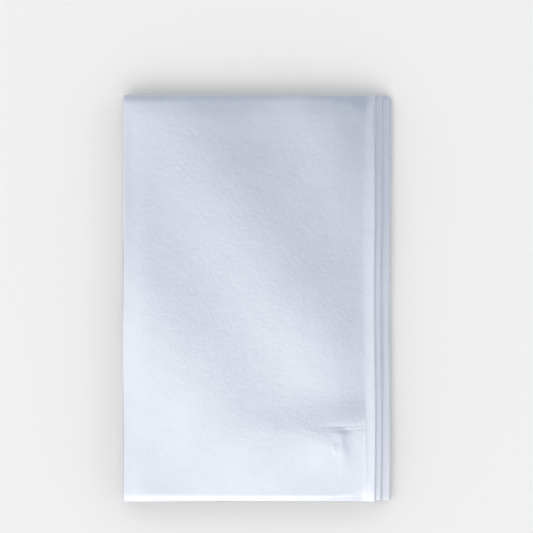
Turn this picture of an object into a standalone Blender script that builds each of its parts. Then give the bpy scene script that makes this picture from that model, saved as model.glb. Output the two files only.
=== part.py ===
"""Emergency foil blanket, folded and lying flat.

The sheet is first folded across into a strip, and the strip is then laid back and forth
into a flat packet. Metres, +Z up. The fold lines of the packet run along Y, +X is the side
on which the lower folds step out, and the origin is under the middle of the packet, on the
surface that it lies on.

Each layer below stands for a bundle of thin film, so the packet keeps its real height with
eight layers that can be told apart.
"""

import math
from collections import namedtuple

import bmesh
import bpy

MM = 0.001

# Driving dimensions
STRIP_WIDTH = 162.5 * MM  # along the folds
LAYER_THICKNESS = 1.0 * MM
LAYER_PITCH = 1.4 * MM  # from the middle of one layer to the middle of the next

# How finely the strip is divided
RUN_STEPS = 6  # along one layer, from fold to fold
BEND_STEPS = 6  # round one fold
STATIONS = 22  # along Y
SHARP_ANGLE = math.radians(40.0)  # an edge that turns more than this is shaded sharp

# How the packet has settled, as shares of the height above the surface it lies on
END_DROOP = 0.085  # lost at the very front and back
END_DROOP_REACH = 7.0 * MM  # how far in from the ends the droop starts
SWELL = 0.030  # rise of the trapped air over the middle
WAVE_RISE = 0.012
WAVE_LENGTH_X = 62.0 * MM
WAVE_LENGTH_Y = 95.0 * MM

# How far a fold line strays from straight, and over what length it does so
WAVER = 0.25 * MM
WAVER_LENGTH = 88.0 * MM

# Film
FILM_COLOUR = (0.78, 0.81, 0.88, 1.0)
FILM_METALLIC = 0.75
FILM_ROUGHNESS = 0.42

# The free ends and the folds, in the order that they lie along the strip, from the bottom up.
# reach: how far out the end or fold lies, in mm (+ right, - left)
# skew:  how much further to the right it lies at the back than at the front, in mm
# slip:  how far the strip has slipped towards the back there, in mm
Turn = namedtuple("Turn", "reach skew slip")
TURNS = (
    Turn(reach=52.6, skew=-0.6, slip=0.0),
    Turn(reach=-53.4, skew=0.5, slip=0.3),
    Turn(reach=53.7, skew=0.5, slip=-0.3),
    Turn(reach=-53.9, skew=-0.4, slip=-0.6),
    Turn(reach=50.0, skew=-0.4, slip=0.1),
    Turn(reach=-52.9, skew=0.7, slip=0.5),
    Turn(reach=47.4, skew=-0.3, slip=0.2),
    Turn(reach=-53.6, skew=-0.3, slip=-0.4),
    Turn(reach=43.9, skew=0.2, slip=0.0),
)

LAYERS = len(TURNS) - 1
BEND_RADIUS = LAYER_PITCH / 2
HALF_THICKNESS = LAYER_THICKNESS / 2


def clear_scene():
    """Remove whatever the scene holds."""
    for obj in list(bpy.data.objects):
        bpy.data.objects.remove(obj, do_unlink=True)


def part_collection(name):
    """A collection of this name, linked to the scene."""
    collection = bpy.data.collections.new(name)
    bpy.context.scene.collection.children.link(collection)
    return collection


def film_material():
    """Satin silver film."""
    material = bpy.data.materials.new("silver_film")
    material.use_nodes = True
    shader = material.node_tree.nodes["Principled BSDF"]
    shader.inputs["Base Color"].default_value = FILM_COLOUR
    shader.inputs["Metallic"].default_value = FILM_METALLIC
    shader.inputs["Roughness"].default_value = FILM_ROUGHNESS
    return material


def smooth_step(value):
    """0 below 0, 1 above 1, and an even S between."""
    value = min(max(value, 0.0), 1.0)
    return value * value * (3.0 - 2.0 * value)


def mix(first, second, share):
    """The value this share of the way from first to second."""
    return first + (second - first) * share


def turn_middle(index, along):
    """X of the middle of a fold's bend, or of a free end. along runs from 0 at the front to 1."""
    turn = TURNS[index]
    waver = WAVER * math.sin(math.tau * along * STRIP_WIDTH / WAVER_LENGTH + index)
    edge = (turn.reach + turn.skew * (along - 0.5)) * MM + waver
    if index in (0, LAYERS):
        return edge
    return edge - math.copysign(BEND_RADIUS + HALF_THICKNESS, turn.reach)


def layer_height(layer):
    """Height of the middle of a layer before the packet settles."""
    return HALF_THICKNESS + LAYER_PITCH * layer


def strip_line(along):
    """The strip's middle line at one station, as (x, z, slip), from the bottom end to the top end."""
    points = []
    for layer in range(LAYERS):
        start = turn_middle(layer, along)
        end = turn_middle(layer + 1, along)
        for step in range(RUN_STEPS + 1):
            share = step / RUN_STEPS
            slip = mix(TURNS[layer].slip, TURNS[layer + 1].slip, share) * MM
            points.append((mix(start, end, share), layer_height(layer), slip))
        if layer + 1 < LAYERS:
            points.extend(bend_points(layer + 1, along))
    return points


def bend_points(index, along):
    """The points inside one fold's half round, from the layer below it to the one above."""
    middle = turn_middle(index, along)
    side = math.copysign(1.0, TURNS[index].reach)
    height = layer_height(index - 1) + BEND_RADIUS
    slip = TURNS[index].slip * MM
    points = []
    for step in range(1, BEND_STEPS):
        angle = math.pi * (step / BEND_STEPS - 0.5)
        x = middle + side * BEND_RADIUS * math.cos(angle)
        points.append((x, height + BEND_RADIUS * math.sin(angle), slip))
    return points


def settled(x, y, z):
    """The height of a point once the packet has settled. The lowest layer stays flat."""
    from_end = STRIP_WIDTH / 2 - abs(y)
    droop = END_DROOP * (1.0 - smooth_step(from_end / END_DROOP_REACH))
    swell = SWELL * math.cos(math.pi * y / STRIP_WIDTH) ** 2
    wave = WAVE_RISE * math.sin(math.tau * x / WAVE_LENGTH_X + math.tau * y / WAVE_LENGTH_Y)
    return HALF_THICKNESS + (z - HALF_THICKNESS) * (1.0 - droop + swell + wave)


def folded_strip():
    """The strip as an open surface: an even grid whose points are laid along the folds."""
    columns = len(strip_line(0.0)) - 1
    surface = bmesh.new()
    bmesh.ops.create_grid(surface, x_segments=columns, y_segments=STATIONS, size=0.5)
    lines = [strip_line(station / STATIONS) for station in range(STATIONS + 1)]
    for point in surface.verts:
        column = round((point.co.x + 0.5) * columns)
        station = round((point.co.y + 0.5) * STATIONS)
        x, z, slip = lines[station][column]
        y = (station / STATIONS - 0.5) * STRIP_WIDTH
        point.co = (x, y + slip, settled(x, y, z))
    centre_footprint(surface)
    bmesh.ops.recalc_face_normals(surface, faces=surface.faces)
    mesh = bpy.data.meshes.new("foil_sheet")
    surface.to_mesh(mesh)
    surface.free()
    return mesh


def centre_footprint(surface):
    """Put the middle of the footprint on the origin. Folds reach half a thickness past the line."""
    left = min(point.co.x for point in surface.verts) - HALF_THICKNESS
    right = max(point.co.x for point in surface.verts)
    front = min(point.co.y for point in surface.verts)
    back = max(point.co.y for point in surface.verts)
    offset = (-(left + right) / 2, -(front + back) / 2, 0.0)
    bmesh.ops.translate(surface, verts=surface.verts, vec=offset)


def foil_sheet(collection):
    """The whole blanket: one sheet, given its thickness along the folded line."""
    sheet = bpy.data.objects.new("foil_sheet", folded_strip())
    sheet.data.materials.append(film_material())
    sheet.data.shade_smooth()
    sheet.data.set_sharp_from_angle(angle=SHARP_ANGLE)
    collection.objects.link(sheet)
    solidify = sheet.modifiers.new("Thickness", "SOLIDIFY")
    solidify.thickness = LAYER_THICKNESS
    solidify.offset = 0.0
    solidify.use_even_offset = True
    solidify.use_rim = True
    return sheet


def main():
    """Build the folded blanket."""
    clear_scene()
    foil_sheet(part_collection("folded_foil_blanket"))


main()
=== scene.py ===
"""Looks of a folded emergency foil blanket.

One sheet of silver film is cut flat, folded in half three times across its width into a strip
of eight plies, and the strip is laid back and forth into a flat packet of twenty panels.
Metres, +Z up. The panels' fold lines run along Y, the right is +X, the front is -Y, and the
free end of the top panel lies on the right.
"""

import logging
import math
from collections.abc import Sequence
from dataclasses import dataclass, field
from enum import Enum

import bmesh
import bpy
import numpy as np
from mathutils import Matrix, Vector


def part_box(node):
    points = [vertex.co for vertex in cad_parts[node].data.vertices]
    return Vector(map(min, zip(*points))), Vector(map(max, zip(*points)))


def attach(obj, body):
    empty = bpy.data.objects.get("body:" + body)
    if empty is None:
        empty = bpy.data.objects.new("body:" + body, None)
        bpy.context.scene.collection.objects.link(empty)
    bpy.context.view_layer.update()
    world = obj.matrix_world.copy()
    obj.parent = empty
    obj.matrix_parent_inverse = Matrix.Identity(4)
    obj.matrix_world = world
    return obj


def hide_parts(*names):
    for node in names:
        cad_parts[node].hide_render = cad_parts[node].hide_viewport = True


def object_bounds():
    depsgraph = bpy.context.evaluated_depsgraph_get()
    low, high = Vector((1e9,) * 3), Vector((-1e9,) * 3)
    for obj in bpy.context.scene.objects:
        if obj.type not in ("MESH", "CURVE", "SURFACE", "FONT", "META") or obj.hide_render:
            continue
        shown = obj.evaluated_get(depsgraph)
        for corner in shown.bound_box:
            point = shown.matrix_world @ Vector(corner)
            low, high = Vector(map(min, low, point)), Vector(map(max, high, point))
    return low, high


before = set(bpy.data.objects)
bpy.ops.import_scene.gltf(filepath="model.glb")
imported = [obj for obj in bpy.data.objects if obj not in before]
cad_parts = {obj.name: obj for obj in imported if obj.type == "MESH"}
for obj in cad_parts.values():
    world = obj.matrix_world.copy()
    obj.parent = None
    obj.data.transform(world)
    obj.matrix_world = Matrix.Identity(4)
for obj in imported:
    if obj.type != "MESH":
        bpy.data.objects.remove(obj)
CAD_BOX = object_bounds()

log = logging.getLogger("foil_blanket")

MM = 0.001
IN_FOLD = -1  # stands for the panel or ply of a line that lies in a fold

Values = float | np.ndarray


def smooth_step(value: Values) -> Values:
    """0 below 0, 1 above 1, and an even S between."""
    value = np.clip(value, 0.0, 1.0)
    return value * value * (3.0 - 2.0 * value)


def mix(first: Values, second: Values, share: Values) -> Values:
    """The value this share of the way from first to second."""
    return first + (second - first) * share


@dataclass(frozen=True)
class Stretch:
    """Even lines up to a place: to is that place and pitch their spacing, in mm."""

    to: float
    pitch: float


def line_places(start: float, stretches: Sequence[Stretch]) -> np.ndarray:
    """Places of the lines that divide a run of film.

    Args:
        start: where the first line lies, in mm.
        stretches: the evenly divided parts, one after the other.

    Returns:
        The places of all lines, in mm, rising.
    """
    places = [start]
    for stretch in stretches:
        count = max(1, round((stretch.to - places[-1]) / stretch.pitch))
        places.extend(np.linspace(places[-1], stretch.to, count + 1)[1:])
    return np.array(places)


@dataclass(frozen=True)
class Turn:
    """A free end or a fold of the strip, seen from above, in mm.

    reach: how far out it lies (+ right, - left).
    skew: how much further to the right it lies at the back than at the front.
    slip: how far the strip has slipped towards the back there.
    """

    reach: float
    skew: float
    slip: float


# From the bottom up. The three groups of folds on the right step in one above the other.
TURNS = (
    Turn(reach=52.6, skew=-0.6, slip=0.0),
    Turn(reach=-53.2, skew=0.5, slip=0.3),
    Turn(reach=53.8, skew=0.4, slip=-0.2),
    Turn(reach=-53.6, skew=0.1, slip=0.2),
    Turn(reach=54.2, skew=0.5, slip=-0.3),
    Turn(reach=-53.9, skew=-0.4, slip=-0.6),
    Turn(reach=53.9, skew=-0.3, slip=0.1),
    Turn(reach=-53.3, skew=0.3, slip=0.4),
    Turn(reach=50.2, skew=-0.2, slip=0.0),
    Turn(reach=-53.0, skew=0.6, slip=0.5),
    Turn(reach=50.6, skew=-0.4, slip=0.1),
    Turn(reach=-52.9, skew=0.7, slip=-0.2),
    Turn(reach=50.3, skew=-0.2, slip=0.3),
    Turn(reach=-53.4, skew=-0.2, slip=0.0),
    Turn(reach=47.5, skew=-0.2, slip=0.2),
    Turn(reach=-53.6, skew=-0.3, slip=-0.4),
    Turn(reach=47.7, skew=-0.3, slip=0.1),
    Turn(reach=-53.2, skew=0.2, slip=0.3),
    Turn(reach=47.7, skew=-0.5, slip=-0.2),
    Turn(reach=-53.5, skew=0.3, slip=0.2),
    Turn(reach=43.8, skew=0.2, slip=0.0),
)
PANELS = len(TURNS) - 1
BOTTOM_PANEL = 0
TOP_PANEL = PANELS - 1


@dataclass(frozen=True)
class StripLines:
    """The lines across the strip, in order along it. Each field holds one value a line.

    first, second, share: the line lies this share of the way from one turn to the next.
    out, height: how far right of there it lies, and how high, before the film's own offset.
    normal_x, normal_z: which way the strip's upper side faces there, if the top panel's is up.
    panel: the panel that the line is on, or IN_FOLD.
    """

    first: np.ndarray
    second: np.ndarray
    share: np.ndarray
    out: np.ndarray
    height: np.ndarray
    normal_x: np.ndarray
    normal_z: np.ndarray
    panel: np.ndarray


@dataclass(frozen=True)
class PlyLines:
    """The lines along the strip, in order across the sheet. Each field holds one value a line.

    y: where the line lies along the packet.
    offset: how far it lies from the middle of the strip, towards its upper side.
    ply: the ply that the line is on, counted from 0, or IN_FOLD.
    """

    y: np.ndarray
    offset: np.ndarray
    ply: np.ndarray


@dataclass(frozen=True)
class PlyFolding:
    """How the sheet is folded in half three times into the strip's eight plies."""

    width: float = 162.5 * MM  # of the strip
    spacing: float = 0.038 * MM  # from one ply to the next
    # The place in the stack, from its lowest side, of each ply in order across the sheet
    places: tuple[int, ...] = (3, 4, 7, 0, 1, 6, 5, 2)
    bend_steps: int = 4
    back_room: float = 2.0  # for the folds' bends at the back, in spacings
    # How far each back edge stays short of the strip's width, in mm: first cut, three folds, last cut
    shortfalls: tuple[float, ...] = (0.7, 0.0, 0.5, 0.2, 1.0)
    plain_lines: tuple[Stretch, ...] = (
        Stretch(to=-80.9, pitch=0.2),
        Stretch(to=-77.0, pitch=1.3),
        Stretch(to=-70.0, pitch=3.5),
        Stretch(to=70.0, pitch=20.0),
        Stretch(to=77.0, pitch=3.5),
        Stretch(to=80.0, pitch=1.5),
    )
    fine_lines: tuple[Stretch, ...] = (
        Stretch(to=-80.9, pitch=0.2),
        Stretch(to=-75.6, pitch=0.55),
        Stretch(to=-64.8, pitch=0.8),
        Stretch(to=-54.8, pitch=0.4),
        Stretch(to=-49.8, pitch=0.22),
        Stretch(to=-36.0, pitch=1.2),
        Stretch(to=68.0, pitch=3.6),
        Stretch(to=77.0, pitch=1.8),
        Stretch(to=80.8, pitch=0.9),
    )

    @property
    def stack(self) -> float:
        """From the lowest ply to the highest."""
        return (len(self.places) - 1) * self.spacing

    @property
    def top_ply(self) -> int:
        """The ply that ends up on the outside, on the strip's upper side."""
        return self.places.index(len(self.places) - 1)

    def offset(self, ply: int) -> float:
        """How far a ply lies from the middle of the strip."""
        return (self.places[ply] - (len(self.places) - 1) / 2) * self.spacing

    def front(self) -> float:
        """Where the plies go into the folds at the front."""
        return -self.width / 2 + (len(self.places) - 1) / 2 * self.spacing

    def back(self, ply: int) -> float:
        """Where a ply goes into its fold at the back, or ends there."""
        edge = (ply + 1) // 2  # a cut for the first and the last ply, a fold for each two between
        return self.width / 2 - self.back_room * self.spacing - self.shortfalls[edge] * MM

    def run(self, ply: int) -> np.ndarray:
        """The lines on one ply, in order across the sheet.

        Args:
            ply: the ply, counted from 0.

        Returns:
            Y of each line: from the back to the front on every other ply, from the first on.
        """
        stretches = self.fine_lines if ply == self.top_ply else self.plain_lines
        places = np.append(line_places(self.front() / MM, stretches) * MM, self.back(ply))
        return places[::-1] if ply % 2 == 0 else places

    def lines(self) -> PlyLines:
        """All lines along the strip.

        Returns:
            The lines from one cut edge of the sheet to the other.
        """
        rows = []
        for ply in range(len(self.places)):
            rows.extend((y, self.offset(ply), ply) for y in self.run(ply))
            if ply + 1 < len(self.places):
                rows.extend(self.bend(ply, rows[-1][0]))
        return PlyLines(*(np.array(column) for column in zip(*rows)))

    def bend(self, ply: int, start: float) -> list[tuple[float, float, int]]:
        """The lines inside the fold between a ply and the next one.

        Args:
            ply: the ply that goes into the fold.
            start: where along Y it goes in.

        Returns:
            One row of PlyLines values for each line.
        """
        side = -1.0 if ply % 2 == 0 else 1.0
        middle = (self.offset(ply) + self.offset(ply + 1)) / 2
        radius = (self.offset(ply + 1) - self.offset(ply)) / 2
        rows = []
        for step in range(1, self.bend_steps):
            angle = math.pi * step / self.bend_steps
            y = start + side * abs(radius) * math.sin(angle)
            rows.append((y, middle - radius * math.cos(angle), IN_FOLD))
        return rows


@dataclass(frozen=True)
class PanelFolding:
    """How the strip is laid back and forth into the packet's panels."""

    height: float  # of the whole packet before it settles
    bottom: float  # of the middle of the lowest panel
    width: float  # of the strip
    waver: float = 0.25 * MM  # how far a fold line strays from straight
    waver_length: float = 88.0 * MM
    top_sink: float = 0.20 * MM  # how much closer the top panel lies to the one below it
    bend_steps: int = 4
    end_stagger: float = 0.8 * MM  # the lowest ply of a free end lies this far past the top one
    end_pinch: float = 0.80  # of the plies' spacing is gone at a free end
    end_length: float = 14.0 * MM  # over which a free end's plies close up
    # How far along a plain panel its lines lie, as shares of its length, from the left
    plain_shares: tuple[float, ...] = (
        0.0, 0.002, 0.05, 0.22, 0.46, 0.70, 0.90, 0.957, 0.978, 0.998, 1.0
    )
    fine_lines: tuple[Stretch, ...] = (
        Stretch(to=-52.6, pitch=0.2),
        Stretch(to=-46.0, pitch=1.2),
        Stretch(to=16.0, pitch=2.1),
        Stretch(to=28.0, pitch=1.0),
        Stretch(to=38.0, pitch=0.42),
        Stretch(to=43.8, pitch=0.65),
    )

    @property
    def pitch(self) -> float:
        """From the middle of one panel to the middle of the next."""
        return self.height / (PANELS - 1)

    @property
    def bend_radius(self) -> float:
        """Of the middle of the strip in a fold."""
        return self.pitch / 2

    def level(self, panel: int) -> float:
        """Height of the middle of a panel before the packet settles."""
        sink = self.top_sink if panel == TOP_PANEL else 0.0
        return self.bottom + self.pitch * panel - sink

    def shares(self, panel: int) -> np.ndarray:
        """How far along a panel its lines lie.

        Args:
            panel: the panel, counted from the lowest.

        Returns:
            The shares of its length, rising, in the order of the strip.
        """
        if panel == TOP_PANEL:
            left = TURNS[panel].reach + self.bend_radius / MM
            places = line_places(left, self.fine_lines)
            return (places - left) / (places[-1] - left)
        shares = np.array(self.plain_shares)
        return shares if panel % 2 else 1.0 - shares[::-1]

    def lines(self) -> StripLines:
        """All lines across the strip.

        Returns:
            The lines from the strip's lowest end to its top one.
        """
        rows = []
        for panel in range(PANELS):
            up = 1.0 if panel % 2 else -1.0
            for share in self.shares(panel):
                rows.append((panel, panel + 1, share, 0.0, self.level(panel), 0.0, up, panel))
            if panel < TOP_PANEL:
                rows.extend(self.bend(panel + 1))
        return StripLines(*(np.array(column) for column in zip(*rows)))

    def bend(self, turn: int) -> list[tuple[float, ...]]:
        """The lines inside one fold's half round, from the panel below it to the one above.

        Args:
            turn: the fold, counted from the lowest end.

        Returns:
            One row of StripLines values for each line.
        """
        side = math.copysign(1.0, TURNS[turn].reach)
        radius = (self.level(turn) - self.level(turn - 1)) / 2
        middle = self.level(turn - 1) + radius
        rows = []
        for step in range(1, self.bend_steps):
            angle = math.pi * (step / self.bend_steps - 0.5)
            out, rise = side * math.cos(angle), math.sin(angle)
            height = middle + rise * radius
            faces = (-side * out, -side * rise)
            rows.append((turn, turn, 0.0, out * self.bend_radius, height, *faces, IN_FOLD))
        return rows

    def turn_middle(self, turn: np.ndarray, along: np.ndarray) -> np.ndarray:
        """X of the middle of a fold's bend, or of a free end.

        A fold's middle lies one pitch inside its reach, so that its outermost ply stays within it.

        Args:
            turn: the turns, counted from the lowest end.
            along: how far back they are read, from 0 at the front to 1 at the back.

        Returns:
            The places, in the arguments' common shape.
        """
        reach = np.array([t.reach for t in TURNS])[turn] * MM
        skew = np.array([t.skew for t in TURNS])[turn] * MM
        folded = (turn > 0) & (turn < PANELS)
        phase = math.tau * along * self.width / self.waver_length + turn
        edge = reach + skew * (along - 0.5) + self.waver * np.sin(phase)
        return edge - np.sign(reach) * np.where(folded, self.pitch, 0.0)

    def end_share(self, lines: StripLines) -> np.ndarray:
        """How much of a free end's shape the strip has at its lines.

        Args:
            lines: the lines across the strip.

        Returns:
            One value for each line: 1 at the two ends, 0 well inside.
        """
        length = (TURNS[TOP_PANEL + 1].reach - TURNS[TOP_PANEL].reach) * MM
        from_top_end = np.where(lines.panel == TOP_PANEL, 1.0 - lines.share, 1.0)
        from_low_end = np.where(lines.panel == BOTTOM_PANEL, lines.share, 1.0)
        from_end = np.minimum(from_top_end, from_low_end) * length
        return smooth_step(1.0 - from_end / self.end_length)

    def slip(self, lines: StripLines) -> np.ndarray:
        """How far the strip has slipped towards the back at each of its lines."""
        slips = np.array([t.slip for t in TURNS]) * MM
        return mix(slips[lines.first], slips[lines.second], lines.share)


@dataclass(frozen=True)
class Droop:
    """How the front and back edges droop at one place across the packet.

    x: the place, in mm from the middle.
    reach: how far in from the edge the droop starts, in mm.
    share: how much of the height it takes at the edge.
    """

    x: float
    reach: float
    share: float


@dataclass(frozen=True)
class Settling:
    """How the stack of panels sinks and swells, as shares of the height above the floor."""

    width: float  # of the strip
    droops: tuple[Droop, ...] = (
        Droop(x=-54.0, reach=3.0, share=0.024),
        Droop(x=0.0, reach=2.2, share=0.014),
        Droop(x=26.0, reach=1.8, share=0.012),
        Droop(x=30.0, reach=2.0, share=0.014),
        Droop(x=33.0, reach=2.9, share=0.019),
        Droop(x=36.0, reach=3.1, share=0.022),
        Droop(x=38.0, reach=3.3, share=0.025),
        Droop(x=40.0, reach=4.8, share=0.032),
        Droop(x=42.0, reach=5.8, share=0.039),
        Droop(x=44.0, reach=6.2, share=0.041),
        Droop(x=46.2, reach=3.8, share=0.017),
        Droop(x=48.0, reach=3.0, share=0.016),
        Droop(x=54.0, reach=3.0, share=0.028),
    )
    droop_power: float = 1.5  # the higher, the more of the droop lies close to the edge
    swell: float = 0.030
    wave_rise: float = 0.012
    wave_length_x: float = 62.0 * MM
    wave_length_y: float = 95.0 * MM
    # The folds on the right are a little thicker than the panels
    edge_rise: float = 0.020
    edge_rise_start: float = 42.6 * MM
    edge_rise_length: float = 5.4 * MM

    def factor(self, x: np.ndarray, y: np.ndarray) -> np.ndarray:
        """What the height above the floor is multiplied by at a place.

        Args:
            x: places across the packet.
            y: places along it.

        Returns:
            The factors, in the arguments' shape.
        """
        places = [droop.x for droop in self.droops]
        reach = np.interp(x / MM, places, [droop.reach for droop in self.droops]) * MM
        share = np.interp(x / MM, places, [droop.share for droop in self.droops])
        from_end = np.clip((self.width / 2 - np.abs(y)) / reach, 0.0, 1.0)
        droop = share * (1.0 - from_end) ** self.droop_power
        swell = self.swell * np.cos(math.pi * y / self.width) ** 2
        phase = math.tau * (x / self.wave_length_x + y / self.wave_length_y)
        edge = self.edge_rise * smooth_step((x - self.edge_rise_start) / self.edge_rise_length)
        return 1.0 - droop + swell + edge + self.wave_rise * np.sin(phase)


class CreaseForm(Enum):
    """Which way the film bends along a crease."""

    RIDGE = 1.0
    TROUGH = -1.0


class CreaseEdge(Enum):
    """How tight the film's bend is along a crease."""

    SOFT = "soft"
    CRISP = "crisp"


@dataclass(frozen=True)
class Crease:
    """A trough or ridge that the top ply has taken, in mm from the packet's middle.

    line: the points that it runs through.
    height: how far it rises or sinks at most.
    left, right: how far its sides reach, seen along the line.
    fade_in, fade_out: over what length it starts and ends, or 0 where it runs off the film.
    """

    form: CreaseForm
    edge: CreaseEdge
    line: tuple[tuple[float, float], ...]
    height: float
    left: float
    right: float
    fade_in: float
    fade_out: float

    def rise(self, x: np.ndarray, y: np.ndarray) -> np.ndarray:
        """How far the crease lifts the film.

        Args:
            x: places across the packet, in mm.
            y: places along it, in mm.

        Returns:
            The rises, in mm, in the arguments' shape.
        """
        distance, side, along, length = self.nearest(x, y)
        reach = np.where(side > 0, self.left, self.right)
        if self.edge is CreaseEdge.CRISP:
            profile = np.exp(-distance / reach)
        else:
            profile = np.exp(-((distance / reach) ** 2))
        if self.fade_in:
            profile = profile * smooth_step(along / self.fade_in)
        if self.fade_out:
            profile = profile * smooth_step((length - along) / self.fade_out)
        return self.form.value * self.height * profile

    def nearest(
        self, x: np.ndarray, y: np.ndarray
    ) -> tuple[np.ndarray, np.ndarray, np.ndarray, float]:
        """Where places lie from the crease's line.

        Args:
            x: places across the packet, in mm.
            y: places along it, in mm.

        Returns:
            The distances to the line, the sides (+ left), how far along it the nearest points
            lie, and its length.
        """
        distance = np.full(x.shape, np.inf)
        side, along = np.zeros(x.shape), np.zeros(x.shape)
        length = 0.0
        for (x0, y0), (x1, y1) in zip(self.line, self.line[1:]):
            run = math.hypot(x1 - x0, y1 - y0)
            dx, dy = (x1 - x0) / run, (y1 - y0) / run
            share = np.clip((x - x0) * dx + (y - y0) * dy, 0.0, run)
            off = np.hypot(x - x0 - share * dx, y - y0 - share * dy)
            closer = off < distance
            distance = np.where(closer, off, distance)
            side = np.where(closer, dx * (y - y0) - dy * (x - x0), side)
            along = np.where(closer, length + share, along)
            length += run
        return distance, side, along, length


CREASES = (
    # The level creases near the free end: the first two run off it, the others fade before it
    Crease(
        CreaseForm.TROUGH, CreaseEdge.CRISP,
        line=((24.0, -51.6), (33.0, -51.3), (38.0, -51.1), (43.9, -50.8)),
        height=0.040, left=0.90, right=0.50, fade_in=10.0, fade_out=0.0,
    ),
    Crease(
        CreaseForm.TROUGH, CreaseEdge.CRISP,
        line=((29.5, -53.2), (35.0, -52.8), (38.5, -52.6), (43.9, -52.1)),
        height=0.043, left=1.20, right=0.55, fade_in=5.5, fade_out=0.0,
    ),
    Crease(
        CreaseForm.TROUGH, CreaseEdge.CRISP,
        line=((34.0, -52.9), (36.0, -52.7), (40.0, -52.5)),
        height=0.033, left=1.20, right=0.45, fade_in=1.5, fade_out=3.5,
    ),
    Crease(
        CreaseForm.TROUGH, CreaseEdge.CRISP,
        line=((32.5, -53.8), (35.0, -53.6), (43.0, -53.7)),
        height=0.025, left=0.50, right=0.50, fade_in=2.5, fade_out=7.0,
    ),
    # The plateau below them, and the slope above them that lies in half shade
    Crease(
        CreaseForm.RIDGE, CreaseEdge.SOFT,
        line=((-20.0, -57.2), (8.0, -54.8), (24.0, -53.4), (44.5, -51.8)),
        height=0.64, left=10.0, right=26.0, fade_in=56.0, fade_out=0.0,
    ),
    # The step across the plateau: steep where it starts, then broad until it fades at the front
    Crease(
        CreaseForm.RIDGE, CreaseEdge.SOFT,
        line=((33.5, -51.1), (33.5, -55.3), (33.8, -58.9), (34.6, -62.5), (35.5, -67.0)),
        height=0.068, left=2.2, right=8.0, fade_in=3.4, fade_out=9.0,
    ),
    Crease(
        CreaseForm.RIDGE, CreaseEdge.SOFT,
        line=((33.2, -50.7), (33.3, -56.0), (33.8, -60.0), (34.8, -64.8), (35.8, -71.5)),
        height=0.092, left=3.0, right=10.0, fade_in=5.0, fade_out=12.0,
    ),
    # The long thin ridge left of it
    Crease(
        CreaseForm.RIDGE, CreaseEdge.CRISP,
        line=((32.4, -58.4), (33.3, -61.2), (34.0, -64.4), (34.1, -68.8), (33.8, -76.8)),
        height=0.022, left=1.5, right=0.60, fade_in=2.5, fade_out=12.0,
    ),
    # The short slanted ridge at the left, and the two broad rises under it, steeper towards +X
    Crease(
        CreaseForm.RIDGE, CreaseEdge.CRISP,
        line=((30.0, -58.2), (30.9, -60.4), (32.4, -63.0)),
        height=0.052, left=1.3, right=0.50, fade_in=1.3, fade_out=1.2,
    ),
    Crease(
        CreaseForm.RIDGE, CreaseEdge.SOFT,
        line=((30.6, -53.8), (29.4, -56.6), (28.2, -60.3), (26.0, -66.8), (24.5, -74.8)),
        height=0.10, left=2.2, right=14.0, fade_in=6.0, fade_out=19.0,
    ),
    Crease(
        CreaseForm.RIDGE, CreaseEdge.SOFT,
        line=((18.5, -44.8), (22.5, -58.8), (25.5, -80.8)),
        height=0.09, left=6.5, right=20.0, fade_in=14.0, fade_out=24.0,
    ),
)


@dataclass(frozen=True)
class TopRelief:
    """The loose top ply: the air under it, and its creases."""

    left: float  # X of the edge where it goes into the fold on the left
    right: float  # X of its free end
    front: float  # Y of the edge where it goes into the fold at the front
    back: float  # Y of the edge where it goes into the fold at the back
    air: float = 0.12 * MM  # how far it lifts the film
    end_air: float = 0.5  # the share of it that is left at the free end
    end_length: float = 24.0 * MM  # over which it gets less
    rise_length: float = 9.0 * MM  # from a fold to where the air lifts the film in full
    front_rise_length: float = 2.1 * MM  # the same at the front

    def lift(self, x: np.ndarray, y: np.ndarray) -> np.ndarray:
        """How far the ply lies above the flat stack.

        Args:
            x: places across the packet.
            y: places along it.

        Returns:
            The lifts, in the arguments' shape, in metres.
        """
        loose = smooth_step((x - self.left) / self.rise_length)
        loose = loose * smooth_step((y - self.front) / self.front_rise_length)
        loose = loose * smooth_step((self.back - y) / self.rise_length)
        creased = sum(crease.rise(x / MM, y / MM) for crease in CREASES) * MM
        air = self.air * mix(self.end_air, 1.0, smooth_step((self.right - x) / self.end_length))
        return loose * np.maximum(air + creased, 0.0)


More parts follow.
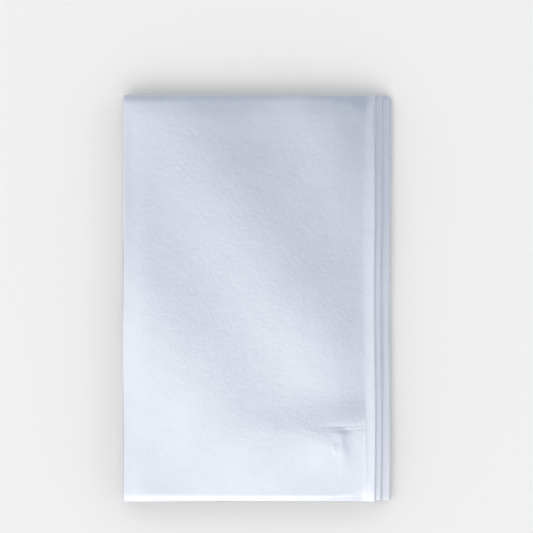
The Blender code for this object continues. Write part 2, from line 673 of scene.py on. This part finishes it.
@dataclass(frozen=True)
class FilmFinish:
    """Satin silver film: soft plastic with a thin bright metal coat."""

    light_tone: tuple[float, float, float, float] = (0.736, 0.751, 0.794, 1.0)
    dark_tone: tuple[float, float, float, float] = (0.704, 0.718, 0.763, 1.0)
    tone_bounds: tuple[float, float] = (0.32, 0.68)  # of the noise: all dark below, all light above
    metallic: float = 0.88
    roughness: tuple[float, float] = (0.27, 0.37)
    # How many patches of each kind lie in a metre, and how finely each is broken up
    tone_scale: float = 34.0
    tone_detail: float = 4.0
    pucker_scale: float = 95.0
    pucker_detail: float = 3.0
    grain_scale: float = 620.0
    grain_detail: float = 2.0
    grain_share: float = 0.35  # of the bumps, the rest being puckers
    bump_depth: float = 0.14 * MM
    bump_strength: float = 0.55

    def material(self) -> bpy.types.Material:
        """The finish as a material that reads the piece's own coordinates.

        Returns:
            A new material, ready for the sheet.
        """
        material = bpy.data.materials.new("silver_film")
        material.use_nodes = True
        nodes, links = material.node_tree.nodes, material.node_tree.links
        shader = nodes["Principled BSDF"]
        shader.inputs["Metallic"].default_value = self.metallic
        place = nodes.new("ShaderNodeTexCoord").outputs["Object"]

        def noise(scale: float, detail: float) -> bpy.types.NodeSocket:
            """An even noise over the film.

            Args:
                scale: how many patches lie in a metre.
                detail: how finely they are broken up.

            Returns:
                The socket that gives its value, about 0.5 in the middle.
            """
            node = nodes.new("ShaderNodeTexNoise")
            node.inputs["Scale"].default_value = scale
            node.inputs["Detail"].default_value = detail
            links.new(place, node.inputs["Vector"])
            return node.outputs["Fac"]

        tone = nodes.new("ShaderNodeValToRGB")
        dark, light = tone.color_ramp.elements
        dark.position, light.position = self.tone_bounds
        dark.color, light.color = self.dark_tone, self.light_tone
        links.new(noise(self.tone_scale, self.tone_detail), tone.inputs["Fac"])
        links.new(tone.outputs["Color"], shader.inputs["Base Color"])

        puckers = noise(self.pucker_scale, self.pucker_detail)
        gloss = nodes.new("ShaderNodeMapRange")
        gloss.inputs["To Min"].default_value = self.roughness[0]
        gloss.inputs["To Max"].default_value = self.roughness[1]
        links.new(puckers, gloss.inputs["Value"])
        links.new(gloss.outputs["Result"], shader.inputs["Roughness"])

        height = nodes.new("ShaderNodeMix")
        height.inputs["Factor"].default_value = self.grain_share
        links.new(puckers, height.inputs["A"])
        links.new(noise(self.grain_scale, self.grain_detail), height.inputs["B"])
        bump = nodes.new("ShaderNodeBump")
        bump.inputs["Distance"].default_value = self.bump_depth
        bump.inputs["Strength"].default_value = self.bump_strength
        links.new(height.outputs["Result"], bump.inputs["Height"])
        links.new(bump.outputs["Normal"], shader.inputs["Normal"])
        return material


@dataclass(frozen=True)
class MapShares:
    """How the film's own map is shared out: most of it goes to what lies outside."""

    top_panel: float = 0.60
    bottom_panel: float = 0.12
    outer_ply: float = 0.62

    @staticmethod
    def spread(where: np.ndarray, wanted: dict[int, float]) -> np.ndarray:
        """Places of the lines on the map, from 0 to 1.

        Args:
            where: the panel or ply of each line, or IN_FOLD.
            wanted: the share of the map that some panels or plies take.

        Returns:
            One rising value for each line.
        """
        steps = np.zeros(len(where) - 1)
        for index, share in wanted.items():
            inside = (where[:-1] == index) & (where[1:] == index)
            steps[inside] = share / inside.sum()
        others = steps == 0.0
        steps[others] = (1.0 - sum(wanted.values())) / others.sum()
        return np.concatenate(([0.0], np.cumsum(steps)))


@dataclass
class FoilSheet:
    """The whole blanket: one sheet of silver film, folded into its packet."""

    flat_width: float = 1.30
    flat_length: float = 2.10
    clearance: float = 0.03 * MM  # under the lowest ply
    plies: PlyFolding = PlyFolding()
    finish: FilmFinish = FilmFinish()
    shares: MapShares = MapShares()
    middle: Vector = field(init=False)  # of the packet's footprint
    settling: Settling = field(init=False)
    panels: PanelFolding = field(init=False)

    def __post_init__(self) -> None:
        """Work the folds out from the solid's box."""
        low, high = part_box("foil_sheet")
        self.middle = Vector(((low.x + high.x) / 2, (low.y + high.y) / 2, 0.0))
        self.settling = Settling(width=self.plies.width)
        full = 1.0 + self.settling.swell + self.settling.wave_rise
        bottom = self.clearance + self.plies.stack / 2
        self.panels = PanelFolding(
            height=(high.z - low.z) / full - bottom - self.plies.stack / 2,
            bottom=bottom,
            width=self.plies.width,
        )

    def build(self) -> bpy.types.Object:
        """Returns:
            The finished sheet.
        """
        across, along = self.panels.lines(), self.plies.lines()
        sheet = bpy.data.objects.new("foil_film", self.cut(len(across.share), len(along.y)))
        bpy.context.scene.collection.objects.link(sheet)
        column, row = self.lines_of(sheet.data, len(across.share), len(along.y))
        self.unwrap(sheet.data, across, along, column, row)
        self.fold(sheet.data, across, along, column, row)
        sheet.data.materials.append(self.finish.material())
        sheet.data.shade_smooth()
        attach(sheet, "root")
        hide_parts("foil_sheet")
        return sheet

    @staticmethod
    def cut(columns: int, rows: int) -> bpy.types.Mesh:
        """The sheet before it is folded, lined where it will bend.

        Args:
            columns: the number of lines across the strip.
            rows: the number of lines along it.

        Returns:
            An even grid, one unit wide and long, which fold() lays out.
        """
        surface = bmesh.new()
        bmesh.ops.create_grid(surface, x_segments=columns - 1, y_segments=rows - 1, size=0.5)
        mesh = bpy.data.meshes.new("foil_film")
        surface.to_mesh(mesh)
        surface.free()
        return mesh

    @staticmethod
    def lines_of(
        mesh: bpy.types.Mesh, columns: int, rows: int
    ) -> tuple[np.ndarray, np.ndarray]:
        """The lines that each vertex of the cut sheet lies on.

        Args:
            mesh: the sheet, still flat.
            columns: the number of lines across the strip.
            rows: the number of lines along it.

        Returns:
            Each vertex's line across and its line along.
        """
        places = np.empty(len(mesh.vertices) * 3)
        mesh.vertices.foreach_get("co", places)
        places = places.reshape(-1, 3) + 0.5
        column = np.rint(places[:, 0] * (columns - 1)).astype(int)
        return column, np.rint(places[:, 1] * (rows - 1)).astype(int)

    def fold(
        self,
        mesh: bpy.types.Mesh,
        across: StripLines,
        along: PlyLines,
        column: np.ndarray,
        row: np.ndarray,
    ) -> None:
        """Lay every vertex along the folds, and let the packet settle.

        Args:
            mesh: the sheet, changed in place.
            across: the lines across the strip.
            along: the lines along it.
            column: each vertex's line across.
            row: each vertex's line along.
        """
        panels = self.panels
        y = along.y[row]
        share = np.clip(y / panels.width + 0.5, 0.0, 1.0)
        first = panels.turn_middle(across.first[column], share)
        second = panels.turn_middle(across.second[column], share)
        offset = along.offset[row]
        x = mix(first, second, across.share[column]) + across.out[column]
        x = x + across.normal_x[column] * offset
        rise = across.normal_z[column] * offset
        end = panels.end_share(across)[column]
        x = x + end * panels.end_stagger * (0.5 - rise / self.plies.stack)
        height = across.height[column] + rise * (1.0 - panels.end_pinch * end)
        z = height * self.settling.factor(x, y)
        loose = (across.panel[column] == TOP_PANEL) & (along.ply[row] == self.plies.top_ply)
        z[loose] += self.relief().lift(x[loose], y[loose])
        y = y + panels.slip(across)[column]
        places = np.stack((x + self.middle.x, y + self.middle.y, z), axis=1)
        mesh.vertices.foreach_set("co", places.ravel())
        mesh.update()

    def relief(self) -> TopRelief:
        """The top ply's relief, between the folds that hold it."""
        return TopRelief(
            left=TURNS[TOP_PANEL].reach * MM + self.panels.pitch,
            right=TURNS[TOP_PANEL + 1].reach * MM,
            front=self.plies.front(),
            back=self.plies.back(self.plies.top_ply),
        )

    def unwrap(
        self,
        mesh: bpy.types.Mesh,
        across: StripLines,
        along: PlyLines,
        column: np.ndarray,
        row: np.ndarray,
    ) -> None:
        """Give the film its own map, on which the outside takes the most room.

        Args:
            mesh: the sheet, which gains the map.
            across: the lines across the strip.
            along: the lines along it.
            column: each vertex's line across.
            row: each vertex's line along.
        """
        wide = {TOP_PANEL: self.shares.top_panel, BOTTOM_PANEL: self.shares.bottom_panel}
        u = self.shares.spread(across.panel, wide)[column]
        v = self.shares.spread(along.ply, {self.plies.top_ply: self.shares.outer_ply})[row]
        corner = np.empty(len(mesh.loops), dtype=int)
        mesh.loops.foreach_get("vertex_index", corner)
        layer = mesh.uv_layers.new(name="OFBake")
        layer.uv.foreach_set("vector", np.stack((u[corner], v[corner]), axis=1).ravel())


@dataclass(frozen=True)
class FloorFinish:
    """Plain matt pale floor, creamy enough to look neutral in the cool room."""

    colour: tuple[float, float, float, float] = (0.985, 0.950, 0.890, 1.0)
    roughness: float = 0.85

    def material(self) -> bpy.types.Material:
        """The finish as a material.

        Returns:
            A new material, ready for the floor.
        """
        material = bpy.data.materials.new("floor")
        material.use_nodes = True
        shader = material.node_tree.nodes["Principled BSDF"]
        shader.inputs["Base Color"].default_value = self.colour
        shader.inputs["Roughness"].default_value = self.roughness
        return material


@dataclass(frozen=True)
class SoftBox:
    """A soft and faintly warm studio light that looks at the packet."""

    name: str
    place: tuple[float, float, float]
    size: tuple[float, float]
    watts: float
    colour: tuple[float, float, float] = (1.0, 0.97, 0.92)

    def build(self) -> None:
        """Hang the light."""
        lamp = bpy.data.lights.new(self.name, "AREA")
        lamp.color = self.colour
        lamp.shape = "RECTANGLE"
        lamp.size, lamp.size_y = self.size
        lamp.energy = self.watts
        light = bpy.data.objects.new(self.name, lamp)
        light.location = self.place
        light.rotation_euler = (-Vector(self.place)).to_track_quat("-Z", "Y").to_euler()
        light.visible_camera = False
        bpy.context.scene.collection.objects.link(light)


@dataclass(frozen=True)
class Studio:
    """Floor, light and camera."""

    floor_size: float = 6.0
    floor_finish: FloorFinish = FloorFinish()
    # The room is faintly cool beside the lights, so that the film's shaded slopes turn bluish
    world_colour: tuple[float, float, float, float] = (0.726, 0.820, 1.0, 1.0)
    world_strength: float = 0.503
    lights: tuple[SoftBox, ...] = (
        SoftBox("overhead_light", place=(-0.75, -0.95, 3.20), size=(2.6, 2.6), watts=22.7),
        SoftBox("front_light", place=(0.0, -2.05, 2.75), size=(3.6, 2.1), watts=14.9),
        SoftBox("left_wall", place=(-3.0, 0.0, 2.1), size=(6.2, 3.6), watts=43.3),
        SoftBox("right_wall", place=(3.0, 0.0, 1.7), size=(6.2, 2.6), watts=28.8),
        SoftBox("front_wall", place=(0.0, -3.0, 1.1), size=(6.2, 1.8), watts=13.4),
        SoftBox("back_wall", place=(0.0, 3.0, 2.1), size=(6.2, 3.6), watts=25.8),
    )
    pixel: float = 0.40 * MM  # what one pixel shows of the packet's top
    picture_width: int = 533
    picture_middle: tuple[float, float] = (4.2 * MM, 12.8 * MM)
    camera_distance: float = 1.2  # above the packet's top
    sensor_width: float = 36.0  # mm

    def build(self) -> None:
        """Set the studio up around the packet."""
        bpy.ops.object.select_all(action="DESELECT")
        bpy.ops.mesh.primitive_plane_add(size=self.floor_size)
        floor = bpy.context.active_object
        floor.name = "floor"
        floor.data.materials.append(self.floor_finish.material())
        for light in self.lights:
            light.build()
        self.light_world()
        self.place_camera()

    def light_world(self) -> None:
        """Pale, even and faintly cool surroundings."""
        world = bpy.data.worlds.new("studio")
        world.use_nodes = True
        background = world.node_tree.nodes["Background"]
        background.inputs["Color"].default_value = self.world_colour
        background.inputs["Strength"].default_value = self.world_strength
        bpy.context.scene.world = world
        bpy.context.scene.view_settings.view_transform = "Standard"

    def place_camera(self) -> None:
        """Straight above the packet, looking down, with the back at the top of the picture."""
        camera = bpy.data.objects.new("camera", bpy.data.cameras.new("camera"))
        camera.location = (*self.picture_middle, CAD_BOX[1].z + self.camera_distance)
        camera.data.sensor_width = self.sensor_width
        seen = self.pixel * self.picture_width
        camera.data.lens = self.sensor_width * self.camera_distance / seen
        bpy.context.scene.collection.objects.link(camera)
        bpy.context.scene.camera = camera


def main() -> None:
    """Fold the blanket, and set the studio up around it."""
    logging.basicConfig(level=logging.INFO, format="%(name)s: %(message)s")
    sheet = FoilSheet().build()
    log.info("%s: %d faces", sheet.name, len(sheet.data.polygons))
    Studio().build()
    log.info("studio ready")


if __name__ == "__main__":
    main()
